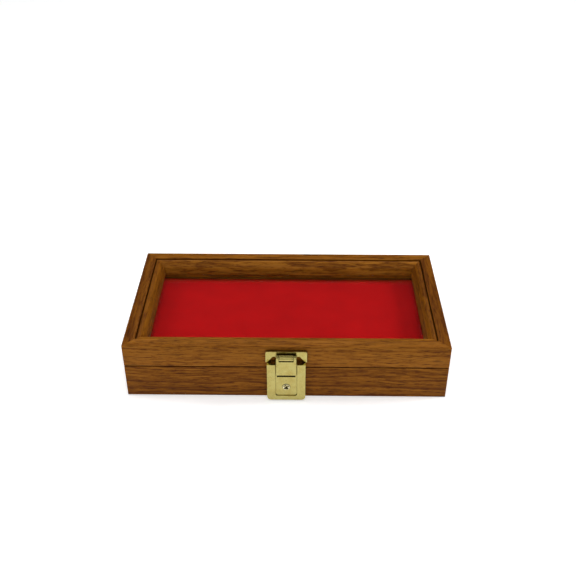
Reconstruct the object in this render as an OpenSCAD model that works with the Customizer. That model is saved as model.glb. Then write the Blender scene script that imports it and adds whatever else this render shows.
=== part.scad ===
// Coin display tray: a small oak case with a hinged glass lid, a padded insert and a key lock.
// X runs along the front, Y from front to back, Z up. The origin is the middle of the underside.

/* [Case] */
// Width of the case along its front
case_w = 210; // [180:1:280]
// Depth of the case from front to back, without lock and hinges
case_d = 111; // [100:1:160]
// Height of the case with its lid shut
case_h = 41.3; // [40.5:0.1:46]
// Height of the seam between base and lid
seam_z = 24.7; // [24:0.1:25.5]
// Gap between the two rims at the seam
seam_gap = 0.4; // [0.3:0.05:0.6]
// Radius of the eased corners and edges
edge_r = 0.6; // [0.4:0.1:1.5]
// Radius of the eased edges along the seam
seam_edge_r = 0.5; // [0.2:0.1:0.8]

/* [Base] */
// Thickness of the base rails
base_rail_t = 9.5; // [9:0.1:11]
// Thickness of the bottom panel
panel_t = 3; // [2:0.5:4]
// Width of the rebate that holds the bottom panel
panel_rebate_w = 5; // [4:0.5:6]

/* [Lid] */
// Width of a lid rail, from its outer face to the sight edge
lid_rail_w = 14.6; // [13.5:0.1:16]
// Width of the flat band on top of a lid rail
flat_band_w = 7.4; // [6:0.1:8]
// Depth from the lid's top to the glass
glass_depth = 9.4; // [8.8:0.1:10]
// Thickness of the glass
glass_t = 2; // [1.8:0.1:2.2]
// Depth of the narrow groove beside the flat band
groove_depth = 1.7; // [1:0.1:2]
// Drop from the flat band to the start of the moulding
quirk_depth = 0.6; // [0.4:0.1:0.9]
// Height of the rounded moulding below the groove
ovolo_h = 7.8; // [6.5:0.1:7.8]

/* [Pad] */
// Thickness of the pad's hardboard backing
board_t = 2; // [1:0.5:3]
// Thickness of the pad's cloth cover
cover_t = 0.7; // [0.5:0.1:1]
// Gap between the pad's crown and the glass
coin_gap = 4.3; // [4.2:0.1:5]
// How far the pad's top rolls off at its edges
pad_roll_h = 1; // [0.8:0.1:1.6]

/* [Hinges] */
// Distance of each hinge's centre from the middle of the case
hinge_x = 65; // [40:1:75]
// Length of a hinge
hinge_len = 25; // [20:1:30]
// Radius of the hinge barrel
barrel_r = 1.9; // [1.7:0.1:2]
// Radius of the hinge pin
hinge_pin_r = 0.75; // [0.6:0.05:0.9]
// Depth of the hinge axis inside the back face
hinge_inset = 1.2; // [1:0.1:1.4]
// Angle at which the bevelled back edges stop the lid
stop_angle = 104; // [98:1:106]

/* [Lock] */
// Width of the lock case
lock_w = 24.8; // [24:0.1:26]
// How far the lock case stands out from the front
lock_p = 4.8; // [4.8:0.1:5.2]
// Width of the hasp
hasp_w = 13; // [12.6:0.1:13.4]
// Radius of the key plug's face
plug_r = 2.3; // [2.2:0.05:2.5]
// Width of the plate that carries the hasp
hasp_plate_w = 26.5; // [26:0.1:27]

/* [Hidden] */
$fn = 48;
e = 0.01; // overshoot of a cutting shape
fit = 0.05; // radial clearance of a pin or screw in its hole
LEFT = -1;
RIGHT = 1;

oak = "#8a5524";
brass = "#c9b458";
steel = "#9a9a9c";
red_cloth = "#a81216";

front_y = -case_d / 2;
back_y = case_d / 2;
base_top = seam_z - seam_gap / 2;
lid_bottom = seam_z + seam_gap / 2;

glass_top = case_h - glass_depth;
glass_bottom = glass_top - glass_t;
glass_edge_gap = 0.4; // play around the pane in its rebate
bead_w = 2;
bead_h = 2;
bead_low = glass_bottom - bead_h;
bead_pin_r = 0.4;
bead_pin_len = 7;
bead_pin_z = glass_bottom - bead_h / 2;
bead_pin_shares = [[-0.3, 0, 0.3], [-0.25, 0.25]]; // along a long and a short side
pad_top = glass_bottom - coin_gap;
pad_gap = 0.3; // play around the pad
pad_roll_w = 4; // width of the rolled edge of the pad
pad_hem_w = 12; // cloth turned under the board
pad_w = case_w - 2 * base_rail_t - 2 * pad_gap;
pad_d = case_d - 2 * base_rail_t - 2 * pad_gap;

panel_inset = base_rail_t - panel_rebate_w + 0.1;
brad_r = 0.6;
brad_head_r = 1.2;
brad_head_t = 0.5;
brad_len = 11;
brad_inset = base_rail_t - panel_rebate_w / 2; // middle of the ledge over the panel
brad_places = concat(
    [for (share = [-0.36, 0, 0.36], side = [-1, 1]) [share * case_w, side * (case_d / 2 - brad_inset)]],
    [for (side = [-1, 1]) [side * (case_w / 2 - brad_inset), 0]]
);

hinge_y = back_y - hinge_inset;
bevel_angle = stop_angle / 2;
leaf_t = 1;
leaf_w = 7.3; // from the hinge axis to the leaf's free edge
knuckle_count = 5;
knuckle_gap = 0.15;
hinge_screw_dx = 7.5;
hinge_screw_dy = 4.9;
hinge_screw_r = 0.75;
hinge_screw_head_r = 1.6;
hinge_screw_len = 7;
hinge_screw_places = [for (dx = [-hinge_screw_dx, hinge_screw_dx]) [dx, -hinge_screw_dy]];

// Heights on the lock, and its layers: p is the distance in front of the case's front face.
lock_bottom = 1;
lock_top = seam_z + 5.6;
lid_clear_p = 0.35; // the lock case stands this far off the moving lid
plate_p = 0.6; // front of the back plate
floor_back_p = 3.4;
floor_p = 4.2; // front of the sunk floor
channel_w = hasp_w + 1.2;
channel_bottom = 4.4;
key_z = 11.6;
hasp_bottom = seam_z - 2.6;
hasp_back_p = 4.4;
hasp_front_p = 5.4;
hasp_axis_z = seam_z + 10.7;
hasp_axis_p = 3.95;
hasp_knuckle_r = 1.7;
centre_knuckle_r = 1.9; // the plate's knuckle between the hasp's ears
hasp_pin_r = 0.7;
hasp_ear_w = 1.8;
hasp_shoulder = hasp_axis_z - 2.1; // where the hasp narrows to its two ears
staple_w = 3;
staple_z = [seam_z - 1.2, seam_z + 2.8];
staple_h = staple_z[1] - staple_z[0];
staple_p = 0.35;
staple_t = 0.6;
staple_slot_w = staple_w + 0.6;
bolt_p = [1.15, 1.85];
flange_p = [2.05, 2.85];
drive_r = 2.37; // radius at which the plug's drive pin turns
drive_pin_r = 0.6;
drive_pin_place = [0, key_z] + drive_r * [-sin(45), cos(45)];
bolt_travel = 2 * drive_r * sin(45);
post_r = 1.8;
lock_screw_r = 0.95;
lock_screw_head_r = 2;
lock_screw_places = [[-8.2, 6.2], [8.2, 6.2], [8.2, 18.5]];
guide_places = [[-5, 17], [-5, 20.6]];
guide_r = 0.7;
hasp_centre_w = hasp_w - 2 * hasp_ear_w - 0.3;
hasp_plate_top = hasp_axis_z + 3.4;
hasp_plate_back_p = 0.02; // just off the lid's face
hasp_plate_p = 2;
hasp_arch_z = hasp_axis_z - 0.4; // top of the arch cut into the plate
sheet_t = 1; // sheet of the lock case and the hasp plate
pocket_half_w = lock_w / 2 - sheet_t; // hollow behind the lock case
pocket_low = lock_bottom + sheet_t;
prong_r = 0.9;
prong_len = 6;
prong_places = [[-9.6, hasp_axis_z + 1.6], [9.6, hasp_axis_z + 1.6]];

// ---- Helpers ----

function arc(centre, r, from, to, steps) =
    [for (i = [0:steps])
        let (a = from + (to - from) * i / steps)
        centre + r * [cos(a), sin(a)]];

// Outline of a rectangle [w, d] centred on the origin with rounded corners.
function rounded_rect(w, d, r) = [
    for (corner = [[1, 1, 0], [-1, 1, 90], [-1, -1, 180], [1, -1, 270]])
        each arc([corner[0] * (w / 2 - r), corner[1] * (d / 2 - r)], r, corner[2], corner[2] + 90, 6)
];

// Outline of a strip of thickness t that follows the points of a path.
function strip(path, t) =
    let (
        last = len(path) - 1,
        side = [for (i = [0:last])
            let (d = path[min(i + 1, last)] - path[max(i - 1, 0)])
            [-d[1], d[0]] / norm(d) * t / 2]
    )
    concat([for (i = [0:last]) path[i] + side[i]], [for (i = [last:-1:0]) path[i] - side[i]]);

// Extrudes a profile drawn as (distance in from the outer face, height) along the front.
module along_front(length)
    translate([-length / 2, front_y, 0]) rotate([90, 0, 90]) linear_extrude(length) children();

// Cuts a front bar to 45-degree mitres: from is the distance in from the case's outer face.
module mitred(length, from, to, z_low, z_high)
    intersection() {
        children();
        translate([0, front_y, z_low])
            linear_extrude(z_high - z_low)
                polygon([
                    [-length / 2 + from, from], [length / 2 - from, from],
                    [length / 2 - to, to], [-length / 2 + to, to]
                ]);
    }

// Places a front piece of a given length on one side: 0 front, 1 right, 2 back, 3 left.
module on_side(side)
    translate(side % 2 == 0 ? [0, 0, 0] : [(side == 1 ? 1 : -1) * (case_w - case_d) / 2, 0, 0])
        rotate(side * 90) children();

function side_len(side) = side % 2 == 0 ? case_w : case_d;

// A slab in front of the case, from p0 to p1, of a shape drawn as (x, z).
module lock_slab(p0, p1)
    translate([0, front_y - p0, 0]) rotate([90, 0, 0]) linear_extrude(p1 - p0) children();

// Round bar along Y through (x, z), from p0 to p1.
module lock_rod(place, r, p0, p1)
    lock_slab(p0, p1) translate(place) circle(r);

// Cone on the key's axis that widens from r0 at p0 to r1 at its front.
module key_cone(p0, length, r0, r1)
    translate([0, front_y - p0, key_z]) rotate([90, 0, 0]) cylinder(h = length, r1 = r0, r2 = r1);

// Round bar along X on the hasp's axis.
module hasp_rod(r, x0, x1)
    translate([x0, front_y - hasp_axis_p, hasp_axis_z]) rotate([0, 90, 0]) cylinder(h = x1 - x0, r = r);

// ---- Base rails and bottom ----

module base_profile()
    polygon(concat(
        arc([edge_r, edge_r], edge_r, 270, 180, 4),
        arc([seam_edge_r, base_top - seam_edge_r], seam_edge_r, 180, 90, 4),
        [
            [base_rail_t, base_top], [base_rail_t, panel_t],
            [base_rail_t - panel_rebate_w, panel_t], [base_rail_t - panel_rebate_w, 0]
        ]
    ));

module corner_rounding(z_low, z_high)
    translate([0, 0, z_low]) linear_extrude(z_high - z_low) polygon(rounded_rect(case_w, case_d, edge_r));

module base_rail(side)
    difference() {
        intersection() {
            on_side(side)
                mitred(side_len(side), 0, base_rail_t, -e, base_top + e)
                    along_front(side_len(side)) base_profile();
            corner_rounding(-e, base_top + e);
        }
        brad_holes();
        if (side != 0)
            back_bevel(-1);
    }

module base_front_rail() color(oak)
    difference() {
        base_rail(0);
        for (place = lock_screw_places) {
            lock_rod(place, lock_screw_r + 0.2, -base_rail_t - e, e);
            lock_rod(place, lock_screw_head_r + 0.2, -base_rail_t - e, -base_rail_t + 1.6);
        }
    }

module base_back_rail() color(oak)
    difference() {
        base_rail(2);
        for (side = [LEFT, RIGHT]) {
            hinge_mortise(side, base_top - leaf_t, base_top + e);
            hinge_screw_holes(side, base_top - hinge_screw_len);
        }
    }

module base_left_rail() color(oak) base_rail(3);
module base_right_rail() color(oak) base_rail(1);

module bottom_panel() color("#6f4a26")
    difference() {
        translate([0, 0, panel_t / 2])
            cube([case_w - 2 * panel_inset, case_d - 2 * panel_inset, panel_t], center = true);
        brad_holes();
        brad_head_sinks();
    }

module brad_holes()
    for (place = brad_places)
        translate([place[0], place[1], -e]) cylinder(h = brad_len + e, r = brad_r + fit);

module brad_head_sinks()
    for (place = brad_places)
        translate([place[0], place[1], -e]) cylinder(h = brad_head_t + e, r = brad_head_r + fit);

module bottom_panel_brads() color(steel)
    for (place = brad_places)
        translate([place[0], place[1], 0]) {
            cylinder(h = brad_head_t, r = brad_head_r);
            cylinder(h = brad_len - 0.2, r = brad_r);
        }

// ---- Pad ----

// A block with rolled-off top edges, inset all round by a margin.
module pad_block(margin, z_low, z_high)
    hull() {
        translate([0, 0, (z_low + z_high - pad_roll_h) / 2])
            cube([pad_w - 2 * margin, pad_d - 2 * margin, z_high - pad_roll_h - z_low], center = true);
        translate([0, 0, z_high - 0.5])
            cube([pad_w - 2 * pad_roll_w, pad_d - 2 * pad_roll_w, 1], center = true);
    }

module pad_board() color("#5d4630")
    translate([0, 0, panel_t + cover_t + board_t / 2])
        cube([pad_w - 2 * cover_t, pad_d - 2 * cover_t, board_t], center = true);

module pad_foam() color("#e8e0c8")
    pad_block(cover_t, panel_t + cover_t + board_t, pad_top - cover_t);

module pad_cover() color(red_cloth)
    difference() {
        pad_block(0, panel_t, pad_top);
        pad_block(cover_t, panel_t + cover_t, pad_top - cover_t);
        translate([0, 0, panel_t])
            cube([pad_w - 2 * pad_hem_w, pad_d - 2 * pad_hem_w, 4 * cover_t], center = true);
    }

// ---- Hinges ----

// Wedge off the back edges at the seam: direction -1 cuts the base, 1 the lid.
module back_bevel(direction)
    translate([-case_w / 2 - 1, hinge_y, seam_z])
        rotate([90, 0, 90])
            linear_extrude(case_w + 2)
                polygon([[0, 0], [4, 4 * direction * tan(bevel_angle)], [4, 0]]);

module hinge_rod(side, r, length)
    translate([side * hinge_x - length / 2, hinge_y, seam_z]) rotate([0, 90, 0]) cylinder(h = length, r = r);

module hinge_mortise(side, z_low, z_high) {
    margin = 0.1;
    translate([side * hinge_x - hinge_len / 2 - margin, hinge_y - leaf_w - margin, z_low])
        cube([hinge_len + 2 * margin, leaf_w + hinge_inset + margin + e, z_high - z_low]);
    hinge_rod(side, barrel_r + 0.25, hinge_len + 2 * margin);
}

module hinge_screw_holes(side, z_low)
    for (place = hinge_screw_places)
        translate([side * hinge_x + place[0], hinge_y + place[1], z_low])
            cylinder(h = hinge_screw_len, r = hinge_screw_r + fit);

// A countersunk screw pointing down from z = 0, with a slotted head.
module hinge_screw(clearance = 0, slotted = true)
    difference() {
        union() {
            translate([0, 0, -hinge_screw_len + 0.3])
                cylinder(h = hinge_screw_len - 0.3 - e, r = hinge_screw_r + clearance);
            translate([0, 0, -0.85])
                cylinder(h = 0.85, r1 = hinge_screw_r + clearance, r2 = hinge_screw_head_r + clearance);
        }
        if (slotted)
            cube([4, 0.35, 0.6], center = true);
    }

module facing(up) mirror([0, 0, up ? 0 : 1]) children();

module hinge_screws(z_face, up)
    for (side = [LEFT, RIGHT], place = hinge_screw_places)
        translate([side * hinge_x + place[0], hinge_y + place[1], z_face])
            facing(up) hinge_screw();

// One hinge leaf. Its knuckles are the even ones for parity 0 and the odd ones for parity 1.
module hinge_leaf(side, parity, z_low, up) {
    pitch = hinge_len / knuckle_count;
    plate_end = barrel_r + 0.3;
    translate([side * hinge_x, hinge_y, 0])
        difference() {
            union() {
                translate([-hinge_len / 2, -leaf_w, z_low])
                    cube([hinge_len, leaf_w - plate_end, leaf_t]);
                for (i = [parity:2:knuckle_count - 1]) {
                    first = -hinge_len / 2 + i * pitch + (i == 0 ? 0 : knuckle_gap / 2);
                    last = -hinge_len / 2 + (i + 1) * pitch - (i == knuckle_count - 1 ? 0 : knuckle_gap / 2);
                    translate([first, -plate_end - e, z_low]) cube([last - first, plate_end + e, leaf_t]);
                    translate([first, 0, seam_z]) rotate([0, 90, 0]) cylinder(h = last - first, r = barrel_r);
                }
            }
            translate([-hinge_len / 2 - 1, 0, seam_z]) rotate([0, 90, 0])
                cylinder(h = hinge_len + 2, r = hinge_pin_r + fit);
            for (place = hinge_screw_places)
                translate([place[0], place[1], up ? z_low + leaf_t + e : z_low - e])
                    facing(up) hinge_screw(fit, false);
        }
}

module hinge_left_base_leaf() color(brass) hinge_leaf(LEFT, 0, base_top - leaf_t, true);
module hinge_right_base_leaf() color(brass) hinge_leaf(RIGHT, 0, base_top - leaf_t, true);
module hinge_left_lid_leaf() color(brass) hinge_leaf(LEFT, 1, lid_bottom, false);
module hinge_right_lid_leaf() color(brass) hinge_leaf(RIGHT, 1, lid_bottom, false);
module hinge_left_pin() color(brass) hinge_rod(LEFT, hinge_pin_r, hinge_len);
module hinge_right_pin() color(brass) hinge_rod(RIGHT, hinge_pin_r, hinge_len);
module base_hinge_screws() color(brass) hinge_screws(base_top, true);
module lid_hinge_screws() color(brass) hinge_screws(lid_bottom, false);

// ---- Lid ----

module lid_profile() {
    ovolo_top = case_h - quirk_depth;
    ovolo_start = flat_band_w + 1.2;
    ovolo_steps = 14;
    polygon(concat(
        arc([seam_edge_r, lid_bottom + seam_edge_r], seam_edge_r, 270, 180, 4),
        arc([edge_r, case_h - edge_r], edge_r, 180, 90, 4),
        [[flat_band_w, case_h], [flat_band_w + 0.1, case_h - groove_depth]],
        [for (i = [0:ovolo_steps])
            let (a = 90 * i / ovolo_steps)
            [ovolo_start + (lid_rail_w - ovolo_start) * sin(a), ovolo_top - ovolo_h * (1 - cos(a))]],
        [
            [lid_rail_w, glass_top], [base_rail_t, glass_top], [base_rail_t, lid_bottom]
        ]
    ));
}

module lid_rail(side)
    difference() {
        intersection() {
            on_side(side)
                mitred(side_len(side), 0, lid_rail_w, lid_bottom - e, case_h + e)
                    along_front(side_len(side)) lid_profile();
            corner_rounding(lid_bottom - e, case_h + e);
        }
        bead_pins(side, fit, 0);
        if (side != 0)
            back_bevel(1);
    }

module lid_front_rail() color(oak)
    difference() {
        lid_rail(0);
        for (place = prong_places)
            lock_rod(place, prong_r + fit, -prong_len - 0.2, e);
    }

module lid_back_rail() color(oak)
    difference() {
        lid_rail(2);
        for (side = [LEFT, RIGHT]) {
            hinge_mortise(side, lid_bottom - e, lid_bottom + leaf_t);
            hinge_screw_holes(side, lid_bottom);
        }
    }

module lid_left_rail() color(oak) lid_rail(3);
module lid_right_rail() color(oak) lid_rail(1);

module glass_pane() color("#dfeee8", 0.35)
    translate([0, 0, glass_bottom + glass_t / 2])
        cube([
            case_w - 2 * (base_rail_t + glass_edge_gap),
            case_d - 2 * (base_rail_t + glass_edge_gap),
            glass_t
        ], center = true);

// Wooden strips under the glass, mitred like the rails and pinned to them.
module bead_pins(side, clearance, overshoot)
    for (share = bead_pin_shares[side % 2])
        on_side(side)
            translate([share * side_len(side), front_y + base_rail_t + bead_w + overshoot, bead_pin_z])
                rotate([90, 0, 0]) cylinder(h = bead_pin_len + overshoot, r = bead_pin_r + clearance);

module glass_bead(side) color(oak)
    difference() {
        on_side(side)
            mitred(side_len(side), base_rail_t, base_rail_t + bead_w, bead_low - e, glass_bottom + e)
                along_front(side_len(side))
                    translate([base_rail_t, bead_low]) square([bead_w, bead_h]);
        bead_pins(side, 0, 1);
    }

module glass_bead_front() glass_bead(0);
module glass_bead_right() glass_bead(1);
module glass_bead_back() glass_bead(2);
module glass_bead_left() glass_bead(3);
module glass_bead_brads() color(steel)
    for (side = [0:3]) bead_pins(side, 0, 0);

// ---- Lock on the base ----

module rounded_bottom_outline(half_w, low, high, corner)
    polygon(concat(
        arc([-half_w + corner, low + corner], corner, 180, 270, 6),
        arc([half_w - corner, low + corner], corner, 270, 360, 6),
        [[half_w, high], [-half_w, high]]
    ));

// The pressed case: a raised rim round a sunk channel that is open at the top.
module lock_case() color(brass)
    difference() {
        union() {
            difference() {
                lock_slab(0, lock_p) rounded_bottom_outline(lock_w / 2, lock_bottom, lock_top, 2.4);
                lock_slab(-e, floor_back_p)
                    rounded_bottom_outline(pocket_half_w, pocket_low, lock_top - sheet_t, 1.5);
                for (side = [LEFT, RIGHT])
                    lock_slab(floor_back_p - e, lock_p - sheet_t)
                        translate([side * (lock_w / 2 + channel_w / 2) / 2, (lock_top + 7) / 2])
                            square([lock_w / 2 - channel_w / 2 - 2 * sheet_t, lock_top - 7 - 2 * sheet_t],
                                center = true);
            }
            for (place = lock_screw_places)
                lock_rod(place, post_r, plate_p, lock_p - sheet_t + e);
        }
        lock_slab(floor_p, lock_p + e)
            rounded_bottom_outline(channel_w / 2, channel_bottom, lock_top + 1, 1.6);
        lock_slab(-e, lid_clear_p)
            translate([0, base_top + 5]) square([lock_w + 2, 10], center = true);
        lock_slab(-e, lock_p + e)
            translate([-staple_slot_w / 2, hasp_bottom + 0.9]) square([staple_slot_w, 10]);
        lock_slab(floor_back_p - e, floor_p + e) // room for a fingernail under the hasp's edge
            translate([0, hasp_bottom - 1.4]) square([hasp_w - 1, 1.5], center = true);
        lock_rod([0, key_z], plug_r + fit, floor_back_p - e, floor_p + e);
        key_cone(floor_p - 0.3, 0.31, plug_r, plug_r + 0.35);
        for (place = lock_screw_places)
            lock_rod(place, lock_screw_r + fit, plate_p - e, floor_back_p - 0.3);
    }

module lock_back_plate() color(steel) {
    difference() {
        lock_slab(0, plate_p - 0.02)
            rounded_bottom_outline(pocket_half_w - 0.1, pocket_low + 0.1, base_top - 2.3, 1.5);
        for (place = lock_screw_places)
            lock_rod(place, lock_screw_r + 0.2, -e, plate_p);
    }
    for (place = guide_places)
        lock_rod(place, guide_r, plate_p - 0.1, bolt_p[1] + 0.6);
}

// Pan-head screws that come through the front rail from inside the base.
module lock_screws() color(steel)
    for (place = lock_screw_places)
        difference() {
            union() {
                lock_rod(place, lock_screw_head_r, -base_rail_t + 0.2, -base_rail_t + 1.5);
                lock_rod(place, lock_screw_r, -base_rail_t + 1.4, floor_back_p - 0.5);
            }
            lock_slab(-base_rail_t, -base_rail_t + 0.8)
                translate(place) square([5, 0.5], center = true);
        }

// A bent strip beside the staple that snaps against it and holds the hasp down.
module catch_spring() color(steel)
    lock_slab(plate_p, 2.7)
        polygon(strip([[8.2, 16.5], [3.6, 16.5], [2.8, 17.3], [2.6, 22], [2, 25.3], [2.7, 27]], 0.3));

module key_plug() color(brass)
    difference() {
        union() {
            lock_rod([0, key_z], plug_r, flange_p[1] - e, floor_p + 0.3);
            lock_rod([0, key_z], plug_r + 0.8, flange_p[0], flange_p[1]);
            lock_rod(drive_pin_place, drive_pin_r, bolt_p[0] - 0.1, flange_p[0] + e);
        }
        for (step = [-1, 1]) // the keyway is stepped sideways half way up
            lock_slab(flange_p[1] - 0.2, floor_p + 1)
                translate([-0.25 * step, key_z + step]) square([1.3, 2.1], center = true);
        key_cone(floor_p - 0.7, 1.01, 0.9, 2);
    }

// A stamped sheet that the plug slides sideways, so that its tongue passes through the staple.
module lock_bolt() color(steel) {
    left = -10.6;
    low = key_z + 0.1;
    tongue_low = (staple_z[0] + staple_z[1]) / 2 - 0.8;
    tongue_t = 1.6;
    play = 0.15;
    slot_low = key_z + drive_r * cos(45) - drive_pin_r - play;
    slot_high = key_z + drive_r + drive_pin_r + play;
    slot_w = 2 * (drive_pin_r + play);
    lock_slab(bolt_p[0], bolt_p[1])
        difference() {
            union() {
                translate([left, low]) square([11.4, 4]);
                translate([left, low]) square([7.4, 22.4 - low]);
                translate([left, low]) square([4.4, tongue_low + tongue_t - low]);
                translate([left, tongue_low]) square([-left - 2, tongue_t]);
            }
            translate([-drive_r * sin(45) - slot_w / 2, slot_low]) square([slot_w, slot_high - slot_low]);
            for (place = guide_places)
                translate([place[0] - bolt_travel - guide_r - play, place[1] - guide_r - play])
                    square([bolt_travel + 2 * (guide_r + play), 2 * (guide_r + play)]);
        }
}

// ---- Hasp on the lid ----

module hasp_plate_outline() {
    half = hasp_plate_w / 2;
    ear_low = lock_top + 0.3;
    corner = 1.3;
    polygon(concat(
        arc([half - corner, hasp_plate_top - corner], corner, 0, 90, 5),
        arc([-half + corner, hasp_plate_top - corner], corner, 90, 180, 5),
        [
            [-half, ear_low], [-half + 1.1, ear_low], [-half + 4.6, hasp_arch_z],
            [half - 4.6, hasp_arch_z], [half - 1.1, ear_low], [half, ear_low]
        ]
    ));
}

module hasp_plate() color(brass)
    difference() {
        union() {
            lock_slab(hasp_plate_back_p, hasp_plate_p) hasp_plate_outline();
            lock_slab(hasp_plate_p - e, hasp_axis_p)
                translate([0, hasp_axis_z]) square([hasp_centre_w, 1.8], center = true);
            hasp_rod(centre_knuckle_r, -hasp_centre_w / 2, hasp_centre_w / 2);
            for (place = prong_places)
                lock_rod(place, prong_r, -prong_len, hasp_plate_back_p + e);
        }
        hasp_rod(hasp_pin_r + fit, -hasp_w, hasp_w);
        difference() {
            lock_slab(0, hasp_plate_p - sheet_t)
                translate([0, (hasp_arch_z + hasp_plate_top) / 2])
                    square([hasp_plate_w - 2 * sheet_t, hasp_plate_top - hasp_arch_z - 2 * sheet_t],
                        center = true);
            for (place = prong_places)
                lock_rod(place, prong_r, -prong_len, hasp_plate_p);
        }
    }

module hasp_pin() color(brass) hasp_rod(hasp_pin_r, -hasp_w / 2, hasp_w / 2);

module hasp() color(brass) {
    ear_x = hasp_w / 2 - hasp_ear_w;
    difference() {
        union() {
            lock_slab(hasp_back_p, hasp_front_p) {
                translate([-hasp_w / 2, hasp_bottom]) square([hasp_w, hasp_shoulder - hasp_bottom]);
                for (x = [-hasp_w / 2, ear_x])
                    translate([x, hasp_shoulder - e]) square([hasp_ear_w, hasp_axis_z - hasp_shoulder + e]);
            }
            hasp_rod(hasp_knuckle_r, -hasp_w / 2, -ear_x);
            hasp_rod(hasp_knuckle_r, ear_x, hasp_w / 2);
        }
        hasp_rod(hasp_pin_r + fit, -hasp_w, hasp_w);
    }
}

// A strip bent to a U and riveted behind the hasp. The bolt's tongue passes through it.
module hasp_staple() color(steel)
    translate([-staple_w / 2, front_y, 0])
        rotate([90, 0, 90])
            linear_extrude(staple_w)
                difference() {
                    translate([-hasp_back_p, staple_z[0]])
                        square([hasp_back_p - staple_p, staple_h]);
                    translate([-hasp_back_p - 1, staple_z[0] + staple_t])
                        square([hasp_back_p - staple_p - staple_t + 1, staple_h - 2 * staple_t]);
                }

// ---- Nodes ----

base_front_rail();
base_back_rail();
base_left_rail();
base_right_rail();
bottom_panel();
bottom_panel_brads();
pad_board();
pad_foam();
pad_cover();
hinge_left_base_leaf();
hinge_right_base_leaf();
hinge_left_pin();
hinge_right_pin();
base_hinge_screws();
lock_case();
lock_back_plate();
lock_screws();
catch_spring();
key_plug();
lock_bolt();
lid_front_rail();
lid_back_rail();
lid_left_rail();
lid_right_rail();
glass_pane();
glass_bead_front();
glass_bead_back();
glass_bead_left();
glass_bead_right();
glass_bead_brads();
hinge_left_lid_leaf();
hinge_right_lid_leaf();
lid_hinge_screws();
hasp_plate();
hasp_pin();
hasp();
hasp_staple();
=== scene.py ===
"""The looks of the coin display tray: oak, brass, glass and a padded red insert around the CAD frame."""

import math

import bpy
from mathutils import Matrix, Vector


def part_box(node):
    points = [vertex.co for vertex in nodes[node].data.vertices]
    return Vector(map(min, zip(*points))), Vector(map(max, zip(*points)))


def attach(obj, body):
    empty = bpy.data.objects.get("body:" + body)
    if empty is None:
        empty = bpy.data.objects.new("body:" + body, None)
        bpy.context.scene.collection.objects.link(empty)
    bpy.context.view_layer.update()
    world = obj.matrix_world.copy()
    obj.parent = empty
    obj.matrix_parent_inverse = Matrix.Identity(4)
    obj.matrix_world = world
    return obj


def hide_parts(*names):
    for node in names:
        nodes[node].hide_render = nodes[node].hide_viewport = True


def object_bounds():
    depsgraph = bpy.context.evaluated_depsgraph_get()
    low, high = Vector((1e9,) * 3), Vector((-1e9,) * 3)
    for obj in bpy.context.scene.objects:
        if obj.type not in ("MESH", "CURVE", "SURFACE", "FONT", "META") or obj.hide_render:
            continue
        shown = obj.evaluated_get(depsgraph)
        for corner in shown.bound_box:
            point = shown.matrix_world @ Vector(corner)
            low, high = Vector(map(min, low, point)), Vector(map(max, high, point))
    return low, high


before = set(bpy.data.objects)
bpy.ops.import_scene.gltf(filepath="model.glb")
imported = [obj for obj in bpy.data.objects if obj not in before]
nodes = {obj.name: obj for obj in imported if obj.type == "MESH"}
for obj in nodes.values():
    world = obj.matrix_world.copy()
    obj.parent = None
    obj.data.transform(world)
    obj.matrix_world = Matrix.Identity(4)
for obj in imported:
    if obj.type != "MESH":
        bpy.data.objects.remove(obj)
cad_low, cad_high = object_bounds()
MM = 0.001


# ---- Node helpers ----

def linear(red, green, blue):
    """A colour given in 0-255 screen values, as the linear RGBA that a shader takes."""
    def channel(value):
        share = value / 255
        return share / 12.92 if share <= 0.04045 else ((share + 0.055) / 1.055) ** 2.4
    return (channel(red), channel(green), channel(blue), 1.0)


def set_input(tree, socket, value):
    if isinstance(value, bpy.types.NodeSocket):
        tree.links.new(value, socket)
    else:
        socket.default_value = value


def add(tree, kind, settings=None, **inputs):
    """Adds a shader node; inputs are sockets to link or plain values, by name with _ for a space."""
    node = tree.nodes.new("ShaderNode" + kind)
    for name, value in (settings or {}).items():
        setattr(node, name, value)
    for name, value in inputs.items():
        set_input(tree, node.inputs[name.replace("_", " ")], value)
    return node


def maths(tree, operation, first, second=0.0, third=0.0):
    node = add(tree, "Math", {"operation": operation})
    for socket, value in zip(node.inputs, (first, second, third)):
        set_input(tree, socket, value)
    return node.outputs[0]


def vector_maths(tree, operation, first, second):
    node = add(tree, "VectorMath", {"operation": operation})
    set_input(tree, node.inputs[0], first)
    set_input(tree, node.inputs[1], second)
    return node.outputs[0]


def mix_colours(tree, factor, first, second):
    """Colour first where factor is 0 and second where it is 1."""
    node = add(tree, "Mix", {"data_type": "RGBA"})
    fraction, colour_a, colour_b = (node.inputs[number] for number in (0, 6, 7))
    set_input(tree, fraction, factor)
    set_input(tree, colour_a, first)
    set_input(tree, colour_b, second)
    return node.outputs[2]


def ramp(tree, factor, low, high, out_low=0.0, out_high=1.0):
    """Maps low..high smoothly to out_low..out_high, clamped."""
    node = add(tree, "MapRange", {"interpolation_type": "SMOOTHSTEP"}, Value=factor)
    for name, value in (("From Min", low), ("From Max", high), ("To Min", out_low), ("To Max", out_high)):
        node.inputs[name].default_value = value
    return node.outputs[0]


def colour_ramp(tree, factor, stops):
    node = add(tree, "ValToRGB", Fac=factor)
    elements = node.color_ramp.elements
    elements[0].position, elements[0].color = stops[0]
    elements[1].position, elements[1].color = stops[-1]
    for position, colour in stops[1:-1]:
        elements.new(position).color = colour
    return node.outputs[0]


def noise(tree, place, size, detail=2.0, roughness=0.5, colour=False):
    """Noise whose blobs measure about size = (x, y, z), in the units of place."""
    scaled = vector_maths(tree, "DIVIDE", place, size)
    node = add(tree, "TexNoise", Vector=scaled, Scale=1.0, Detail=detail, Roughness=roughness)
    return node.outputs[1 if colour else 0]


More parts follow.
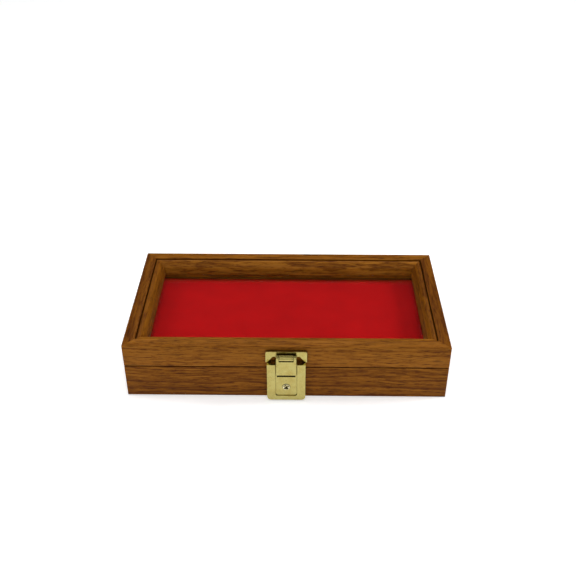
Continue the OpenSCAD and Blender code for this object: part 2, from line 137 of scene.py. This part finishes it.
def millimetres(tree):
    """The place on the piece, in millimetres of the shared frame."""
    place = add(tree, "TexCoord").outputs["Object"]
    return add(tree, "VectorMath", {"operation": "SCALE"}, Vector=place, Scale=1 / MM).outputs[0]


def new_material(name):
    material = bpy.data.materials.new(name)
    material.use_nodes = True
    tree = material.node_tree
    return material, tree, tree.nodes["Principled BSDF"]


def add_bump(tree, shader, height, depth, strength=1.0):
    bump = add(tree, "Bump", Height=height, Strength=strength, Distance=depth)
    tree.links.new(bump.outputs[0], shader.inputs["Normal"])


def set_shader(tree, shader, **inputs):
    for name, value in inputs.items():
        set_input(tree, shader.inputs[name.replace("_", " ")], value)


# ---- Materials ----

OAK_LIGHT = linear(158, 100, 29)
OAK_MID = linear(129, 76, 16)
OAK_DARK = linear(89, 45, 7)
# the colour of the open pores, also used as painted shade in crevices and along the seam
OAK_PORE_AND_SHADE = linear(48, 20, 2)
SEAM_Z = 24.7  # where the lid meets the base, in millimetres
RING_SPACING = 3.1  # of the growth rings, in millimetres
LOG_TAPER = 0.018  # how much wider a ring gets per millimetre along the log


def board_place(tree, grain_along, offset):
    """The place within the log, in millimetres, with the grain along its first axis."""
    place = millimetres(tree)
    if grain_along == "Y":
        parts = add(tree, "SeparateXYZ", Vector=place)
        swapped = add(tree, "CombineXYZ", X=parts.outputs[1], Y=parts.outputs[0], Z=parts.outputs[2])
        place = swapped.outputs[0]
    return vector_maths(tree, "ADD", place, (offset, 0.0, 0.0))


def growth_ring(tree, board, pith, warp):
    """The number of the ring a place lies in, as a fraction that grows outwards from the pith."""
    drift = noise(tree, board, (95.0, 26.0, 26.0), colour=True)
    drift = vector_maths(tree, "SUBTRACT", drift, (0.5, 0.5, 0.5))
    bent = vector_maths(tree, "MULTIPLY_ADD", drift, (0.0, warp * 2, warp * 2))
    tree.links.new(board, bent.node.inputs[2])
    from_pith = vector_maths(tree, "SUBTRACT", bent, (0.0, pith[0], pith[1]))
    along, across, up = add(tree, "SeparateXYZ", Vector=from_pith).outputs
    squares = [maths(tree, "MULTIPLY", side, side) for side in (across, up)]
    radius = maths(tree, "SQRT", maths(tree, "ADD", *squares))
    radius = maths(tree, "MULTIPLY_ADD", along, LOG_TAPER, radius)
    ragged = noise(tree, board, (20.0, 2.0, 2.0), detail=4.0, roughness=0.6)
    return maths(tree, "MULTIPLY_ADD", radius, 1 / RING_SPACING, maths(tree, "MULTIPLY", ragged, 1.5))


def seam_painted_shade(tree):
    """How much painted shade darkens the wood along the seam between lid and base, on upright faces only:
    the shadow in the seam's gap.
    """
    level = add(tree, "SeparateXYZ", Vector=millimetres(tree)).outputs[2]
    from_seam = maths(tree, "ABSOLUTE", maths(tree, "SUBTRACT", level, SEAM_Z))
    facing = add(tree, "SeparateXYZ", Vector=add(tree, "TexCoord").outputs["Normal"]).outputs[2]
    upright = ramp(tree, maths(tree, "ABSOLUTE", facing), 0.75, 0.95, 1.0, 0.0)
    return maths(tree, "MULTIPLY", upright, ramp(tree, from_seam, 0.15, 0.6, 0.85, 0.0))


def oak(name, grain_along, pith, offset, warp, tone, rings):
    """Stained oak whose grain runs along "X" or "Y". pith is the (across, up) place in millimetres
    of the rings' centre; offset picks the board, warp bends its rings, tone darkens it and rings is
    how strongly they show."""
    material, tree, shader = new_material(name)
    board = board_place(tree, grain_along, offset)
    ring = growth_ring(tree, board, pith, warp)
    phase = maths(tree, "FRACT", ring)
    early = maths(tree, "MULTIPLY", ramp(tree, phase, 0.0, 0.12), ramp(tree, phase, 0.2, 0.75, 1.0, 0.0))
    whole_ring = maths(tree, "FLOOR", ring)
    ring_tone = add(tree, "TexWhiteNoise", {"noise_dimensions": "1D"}, W=whole_ring).outputs[0]

    broad = noise(tree, board, (130.0, 16.0, 16.0))
    streak = noise(tree, board, (26.0, 1.3, 1.3), detail=4.0, roughness=0.65)
    dashes = ramp(tree, noise(tree, board, (7.0, 0.8, 0.8), detail=3.0, roughness=0.75), 0.5, 0.68)
    fibre = noise(tree, board, (14.0, 0.24, 0.24), detail=2.0)
    pore_field = noise(tree, board, (7.5, 0.42, 0.42), detail=2.0, roughness=0.4)
    pores = ramp(tree, pore_field, 0.55, 0.66)
    pores = maths(tree, "MULTIPLY", pores, maths(tree, "MULTIPLY_ADD", early, 0.75, 0.25))

    darkness = maths(tree, "MULTIPLY_ADD", early, rings * 0.34, tone - 0.12)
    for layer, weight in (
        (ring_tone, rings * 0.35),
        (broad, 0.34),
        (ramp(tree, streak, 0.34, 0.72), 0.36),
        (dashes, 0.5),
        (fibre, 0.16),
    ):
        darkness = maths(tree, "MULTIPLY_ADD", layer, weight, darkness)
    colour = colour_ramp(tree, darkness, [(0.1, OAK_LIGHT), (0.48, OAK_MID), (0.95, OAK_DARK)])
    colour = mix_colours(tree, maths(tree, "MULTIPLY", pores, 0.8), colour, OAK_PORE_AND_SHADE)
    # Painted shade: the wood darkens towards the pore colour where ambient occlusion finds a crevice, such
    # as the eased edges at the seam.
    crevice = add(tree, "AmbientOcclusion", {"samples": 8}, Distance=1.2 * MM).outputs["AO"]
    colour = mix_colours(tree, ramp(tree, crevice, 0.25, 0.85, 0.75, 0.0), colour, OAK_PORE_AND_SHADE)
    # Painted shade along the seam, standing in for the shadow in the gap between lid and base.
    colour = mix_colours(tree, seam_painted_shade(tree), colour, OAK_PORE_AND_SHADE)

    roughness = maths(tree, "MULTIPLY_ADD", pores, 0.2, maths(tree, "MULTIPLY_ADD", streak, 0.14, 0.3))
    height = maths(tree, "MULTIPLY_ADD", pores, -1.0, maths(tree, "MULTIPLY", fibre, 0.3))
    add_bump(tree, shader, height, 0.09 * MM, 0.7)
    set_shader(tree, shader, Base_Color=colour, Roughness=roughness, Specular_IOR_Level=0.05)
    return material


def metal(name, bright, dull, crevice_shade_colour, roughness, brushed=(0.1, 0.1, 4.0)):
    """Metal with hairline scratches along the long side of brushed, faint cloudy staining,
    and painted shade that darkens its crevices."""
    material, tree, shader = new_material(name)
    place = millimetres(tree)
    hairlines = noise(tree, place, brushed, detail=3.0)
    cloud = noise(tree, place, (5.0, 5.0, 5.0), detail=3.0)
    stain = ramp(tree, cloud, 0.3, 0.8, 0.0, 0.6)
    colour = mix_colours(tree, maths(tree, "MULTIPLY_ADD", hairlines, 0.3, stain), bright, dull)
    # Painted shade: the metal darkens where ambient occlusion finds a groove or recess, such as around the
    # hasp, under its edge and in the key slot.
    crevice = add(tree, "AmbientOcclusion", {"samples": 8}, Distance=1.6 * MM).outputs["AO"]
    colour = mix_colours(tree, ramp(tree, crevice, 0.3, 0.95, 0.85, 0.0), colour, crevice_shade_colour)
    rough = maths(tree, "MULTIPLY_ADD", hairlines, 0.12, roughness - 0.06)
    rough = maths(tree, "MULTIPLY_ADD", stain, 0.05, rough)
    add_bump(tree, shader, hairlines, 0.006 * MM, 0.5)
    set_shader(tree, shader, Base_Color=colour, Metallic=1.0, Roughness=rough)
    return material


def velvet(name):
    """Short-napped red cloth, a little uneven where the nap lies different ways."""
    material, tree, shader = new_material(name)
    place = millimetres(tree)
    nap = noise(tree, place, (0.35, 0.35, 0.35), detail=3.0, roughness=0.65)
    lay = noise(tree, place, (26.0, 18.0, 18.0), detail=2.0)
    tone = maths(tree, "MULTIPLY_ADD", nap, 0.55, maths(tree, "MULTIPLY", lay, 0.45))
    colour = colour_ramp(tree, tone, [(0.25, linear(140, 8, 10)), (0.8, linear(164, 14, 16))])
    add_bump(tree, shader, nap, 0.12 * MM, 0.6)
    set_shader(tree, shader, Base_Color=colour, Roughness=0.95, Specular_IOR_Level=0.02)
    return material


def glass(name):
    """Clear float glass with a trace of green and of waviness."""
    material, tree, shader = new_material(name)
    wave = noise(tree, millimetres(tree), (40.0, 40.0, 40.0), detail=1.0)
    add_bump(tree, shader, wave, 0.02 * MM, 0.2)
    set_shader(
        tree, shader, Base_Color=(0.975, 0.995, 0.985, 1.0), Roughness=0.0, IOR=1.5, Specular_IOR_Level=0.3,
        Transmission_Weight=1.0,
    )
    return material


def board_material(name, light, dark, grain, roughness=0.75):
    """Plywood, hardboard or foam: speckle of a given grain size (x, y, z) in millimetres."""
    material, tree, shader = new_material(name)
    place = millimetres(tree)
    coarse = noise(tree, place, tuple(6 * g for g in grain), detail=2.0)
    fine = noise(tree, place, grain, detail=3.0)
    tone = maths(tree, "MULTIPLY_ADD", fine, 0.5, maths(tree, "MULTIPLY", coarse, 0.5))
    colour = colour_ramp(tree, tone, [(0.3, light), (0.72, dark)])
    add_bump(tree, shader, fine, 0.08 * MM, 0.5)
    set_shader(tree, shader, Base_Color=colour, Roughness=roughness)
    return material


def give(node, material):
    """Puts one material on every slot of a CAD node or piece."""
    piece = nodes[node] if isinstance(node, str) else node
    piece.data.materials.clear()
    piece.data.materials.append(material)


# Each rail is its own board: (pith across and up, offset along the log, warp, tone, rings).
BOARDS = {
    "base_front_rail": ((-36.0, -44.0), 40.0, 9.0, 0.0, 0.8),
    "base_back_rail": ((80.0, -30.0), 610.0, 7.0, 0.04, 0.9),
    "base_left_rail": ((-130.0, -35.0), 1270.0, 7.0, 0.04, 0.9),
    "base_right_rail": ((130.0, -25.0), 1900.0, 7.0, 0.06, 0.9),
    "lid_front_rail": ((-30.0, -60.0), 2450.0, 5.0, -0.07, 0.35),
    "lid_back_rail": ((62.0, 16.0), 3120.0, 9.0, -0.1, 0.8),
    "lid_left_rail": ((-122.0, 0.0), 3790.0, 6.0, 0.2, 0.5),
    "lid_right_rail": ((125.0, -10.0), 4400.0, 6.0, 0.2, 0.5),
    "glass_bead_front": ((-30.0, 0.0), 5150.0, 4.0, 0.1, 0.8),
    "glass_bead_back": ((60.0, 0.0), 5680.0, 4.0, 0.1, 0.8),
    "glass_bead_left": ((-120.0, 0.0), 6230.0, 4.0, 0.1, 0.8),
    "glass_bead_right": ((120.0, 0.0), 6870.0, 4.0, 0.1, 0.8),
}
for node, board in BOARDS.items():
    give(node, oak("oak_" + node, "Y" if "left" in node or "right" in node else "X", *board))

# The last colour of each metal is the painted shade of its crevices; the key plug's is near black to deepen
# its slot.
BRASS = metal("brass_plate", linear(178, 168, 104), linear(164, 145, 78), linear(70, 54, 10), 0.26)
STEEL = metal("zinc_steel", linear(176, 178, 182), linear(140, 142, 146), linear(60, 60, 60), 0.35)
PLUG_BRASS = metal("plug_brass", linear(226, 218, 176), linear(200, 188, 134), linear(10, 8, 2), 0.16)
STEEL_NODES = ("bottom_panel_brads", "glass_bead_brads", "lock_back_plate", "lock_screws", "catch_spring",
               "lock_bolt", "hasp_staple")
BRASS_NODES = ("hinge_left_base_leaf", "hinge_right_base_leaf", "hinge_left_pin", "hinge_right_pin",
               "base_hinge_screws", "hinge_left_lid_leaf", "hinge_right_lid_leaf", "lid_hinge_screws",
               "lock_case", "hasp_plate", "hasp_pin", "hasp")
for node in STEEL_NODES:
    give(node, STEEL)
for node in BRASS_NODES:
    give(node, BRASS)
give("key_plug", PLUG_BRASS)
give("glass_pane", glass("clear_glass"))
nodes["glass_pane"].visible_shadow = False  # light reaches the pad through the pane
give("bottom_panel", board_material("plywood", linear(176, 130, 84), linear(128, 86, 50), (9.0, 0.5, 0.5)))
give("pad_board", board_material("hardboard", linear(110, 78, 50), linear(78, 52, 32), (0.6, 0.6, 0.6)))
give("pad_foam", board_material("foam", linear(226, 214, 178), linear(198, 180, 138), (0.5, 0.5, 0.5), 0.95))


# ---- Softened edges ----

def soften(node, width, angle=35.0, segments=2):
    """Eases the sharp edges of a CAD node with modifiers: the mesh itself stays as it is."""
    piece = nodes[node]
    bpy.ops.object.select_all(action="DESELECT")
    bpy.context.view_layer.objects.active = piece
    piece.select_set(True)
    bpy.ops.mesh.customdata_custom_splitnormals_clear()
    for polygon in piece.data.polygons:
        polygon.use_smooth = True
    weld = piece.modifiers.new("weld", "WELD")
    weld.merge_threshold = 0.001 * MM
    bevel = piece.modifiers.new("bevel", "BEVEL")
    bevel.width = width
    bevel.segments = segments
    bevel.limit_method = "ANGLE"
    bevel.angle_limit = math.radians(angle)
    bevel.harden_normals = True
    bevel.use_clamp_overlap = True


for node in BOARDS:
    soften(node, 0.22 * MM)
for node in ("lock_case", "hasp_plate", "hasp"):
    soften(node, 0.3 * MM, segments=3)
for node in ("key_plug", "hinge_left_base_leaf", "hinge_right_base_leaf", "hinge_left_lid_leaf",
             "hinge_right_lid_leaf", "base_hinge_screws", "lid_hinge_screws"):
    soften(node, 0.1 * MM)


# ---- Padded insert ----

def box_mesh(name, low, high, cell):
    """A closed box as a new object, its sides cut into even cells of about one size."""
    counts = [max(2, round((high[axis] - low[axis]) / cell)) for axis in range(3)]
    numbers = {}
    faces = []
    for axis in range(3):
        u, v = (axis + 1) % 3, (axis + 2) % 3
        for level in (0, counts[axis]):
            for i in range(counts[u]):
                for j in range(counts[v]):
                    face = []
                    for du, dv in ((0, 0), (1, 0), (1, 1), (0, 1)):
                        key = [level, level, level]
                        key[u], key[v] = i + du, j + dv
                        face.append(numbers.setdefault(tuple(key), len(numbers)))
                    faces.append(face if level else face[::-1])
    places = [[low[a] + (high[a] - low[a]) * key[a] / counts[a] for a in range(3)] for key in numbers]
    mesh = bpy.data.meshes.new(name)
    mesh.from_pydata(places, [], faces)
    piece = bpy.data.objects.new(name, mesh)
    bpy.context.scene.collection.objects.link(piece)
    return piece


def apply_modifiers(piece):
    graph = bpy.context.evaluated_depsgraph_get()
    mesh = bpy.data.meshes.new_from_object(piece.evaluated_get(graph))
    piece.modifiers.clear()
    old = piece.data
    piece.data = mesh
    bpy.data.meshes.remove(old)


PAD_CELL = 1.8 * MM
PAD_START_INSET = Vector((0.1, 0.1, 0.25)) * MM  # room left for the swelling
PAD_EDGE_DROP = 0.9 * MM
PAD_EDGE_WIDTH = 4.5 * MM
PAD_CAP = 0.35 * MM  # no point of the cloth moves further than this
PAD_PRESSURE = 4.0
PAD_FRAMES = 20


def roll_off(piece, low, high):
    """Lowers the top of the pad towards its four edges, as cloth pulled over foam does."""
    for vertex in piece.data.vertices:
        edge = min(vertex.co.x - low.x, high.x - vertex.co.x, vertex.co.y - low.y, high.y - vertex.co.y)
        share = max(0.0, 1 - edge / PAD_EDGE_WIDTH)
        up = (vertex.co.z - low.z) / (high.z - low.z)
        vertex.co.z -= PAD_EDGE_DROP * share * share * up


def inflate(piece):
    """Swells the cloth over its foam by simulation. Each point's move is eased to stay under the cap."""
    start = [vertex.co.copy() for vertex in piece.data.vertices]
    cloth = piece.modifiers.new("cloth", "CLOTH")
    cloth.settings.use_pressure = True
    cloth.settings.uniform_pressure_force = PAD_PRESSURE
    cloth.settings.effector_weights.gravity = 0.0
    cloth.settings.quality = 5
    for number in range(1, PAD_FRAMES + 1):
        bpy.context.scene.frame_set(number)
    apply_modifiers(piece)
    bpy.context.scene.frame_set(1)
    for vertex, old in zip(piece.data.vertices, start):
        step = vertex.co - old
        vertex.co = old + step * (PAD_CAP / (PAD_CAP + step.length))


def keep_inside(piece, low, high):
    for vertex in piece.data.vertices:
        vertex.co = Vector(min(max(vertex.co[i], low[i]), high[i]) for i in range(3))


def padded_cover():
    low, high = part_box("pad_cover")
    start_low, start_high = low + PAD_START_INSET, high - PAD_START_INSET
    cover = box_mesh("red_pad", start_low, start_high, PAD_CELL)
    roll_off(cover, start_low, start_high)
    inflate(cover)
    smooth = cover.modifiers.new("smooth", "SUBSURF")
    smooth.levels = smooth.render_levels = 1
    apply_modifiers(cover)
    keep_inside(cover, low, high)
    for polygon in cover.data.polygons:
        polygon.use_smooth = True
    give(cover, velvet("red_velvet"))
    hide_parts("pad_cover")
    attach(cover, "base")


padded_cover()


# ---- Camera, lights and floor ----

def point_at(thing, place, target):
    thing.location = place
    thing.rotation_euler = (Vector(target) - Vector(place)).to_track_quat("-Z", "Y").to_euler()


CAMERA_TARGET = Vector((0.46, 0.0, 48.54)) * MM
CAMERA_AZIMUTH = math.radians(0.67)
CAMERA_ELEVATION = math.radians(34.57)
CAMERA_DISTANCE = 559.0 * MM


def make_camera():
    data = bpy.data.cameras.new("camera")
    data.lens = 51.04
    data.sensor_width = 36.0
    data.clip_start = 0.01
    camera = bpy.data.objects.new("camera", data)
    bpy.context.scene.collection.objects.link(camera)
    back = Vector((
        math.sin(CAMERA_AZIMUTH) * math.cos(CAMERA_ELEVATION),
        -math.cos(CAMERA_AZIMUTH) * math.cos(CAMERA_ELEVATION),
        math.sin(CAMERA_ELEVATION),
    ))
    point_at(camera, CAMERA_TARGET + back * CAMERA_DISTANCE, CAMERA_TARGET)
    bpy.context.scene.camera = camera


def softbox(name, place, size, power, glints=True):
    """An area light aimed at the case; without glints it lights the case but isn't mirrored in it."""
    data = bpy.data.lights.new(name, "AREA")
    data.shape = "RECTANGLE"
    data.size, data.size_y = size
    data.energy = power
    lamp = bpy.data.objects.new(name, data)
    bpy.context.scene.collection.objects.link(lamp)
    lamp.visible_glossy = glints
    point_at(lamp, place, (0.0, 0.0, 0.03))


def make_world():
    world = bpy.data.worlds.new("studio")
    bpy.context.scene.world = world
    world.use_nodes = True
    tree = world.node_tree
    ambient = tree.nodes["Background"]
    ambient.inputs["Color"].default_value = (0.9, 0.95, 1.0, 1.0)
    ambient.inputs["Strength"].default_value = 0.015
    backdrop = add(tree, "Background", Color=(0.93, 0.93, 0.93, 1.0), Strength=1.0)
    choice = add(tree, "MixShader", Fac=add(tree, "LightPath").outputs["Is Camera Ray"])
    tree.links.new(ambient.outputs[0], choice.inputs[1])
    tree.links.new(backdrop.outputs[0], choice.inputs[2])
    tree.links.new(choice.outputs[0], tree.nodes["World Output"].inputs["Surface"])


def make_floor():
    half = 3.0
    mesh = bpy.data.meshes.new("floor")
    corners = [(-half, -half, 0), (half, -half, 0), (half, half, 0), (-half, half, 0)]
    mesh.from_pydata(corners, [], [(0, 1, 2, 3)])
    floor = bpy.data.objects.new("floor", mesh)
    bpy.context.scene.collection.objects.link(floor)
    floor.location.z = cad_low.z - 0.05 * MM
    material, tree, shader = new_material("pale_floor")
    mottle = noise(tree, millimetres(tree), (180.0, 180.0, 180.0))
    colour = mix_colours(tree, mottle, (0.9, 0.9, 0.9, 1.0), (0.93, 0.93, 0.93, 1.0))
    set_shader(
        tree, shader, Base_Color=colour, Roughness=1.0, Specular_IOR_Level=0.0,
        Emission_Color=(1.0, 1.0, 1.0, 1.0), Emission_Strength=0.45,
    )
    mesh.materials.append(material)


bpy.context.scene.view_settings.view_transform = "Standard"
make_camera()
make_world()
softbox("overhead_light", (0.0, 0.0, 1.3), (1.0, 0.9), 5.0, glints=False)
softbox("front_light", (0.0, -1.1, 1.15), (1.2, 0.5), 6.5)
softbox("back_light", (0.0, 1.0, 1.15), (1.2, 0.3), 4.0)
softbox("left_light", (-1.15, 0.1, 0.95), (0.5, 0.5), 6.0)
softbox("right_light", (1.15, 0.1, 0.9), (0.3, 0.3), 7.5)
make_floor()
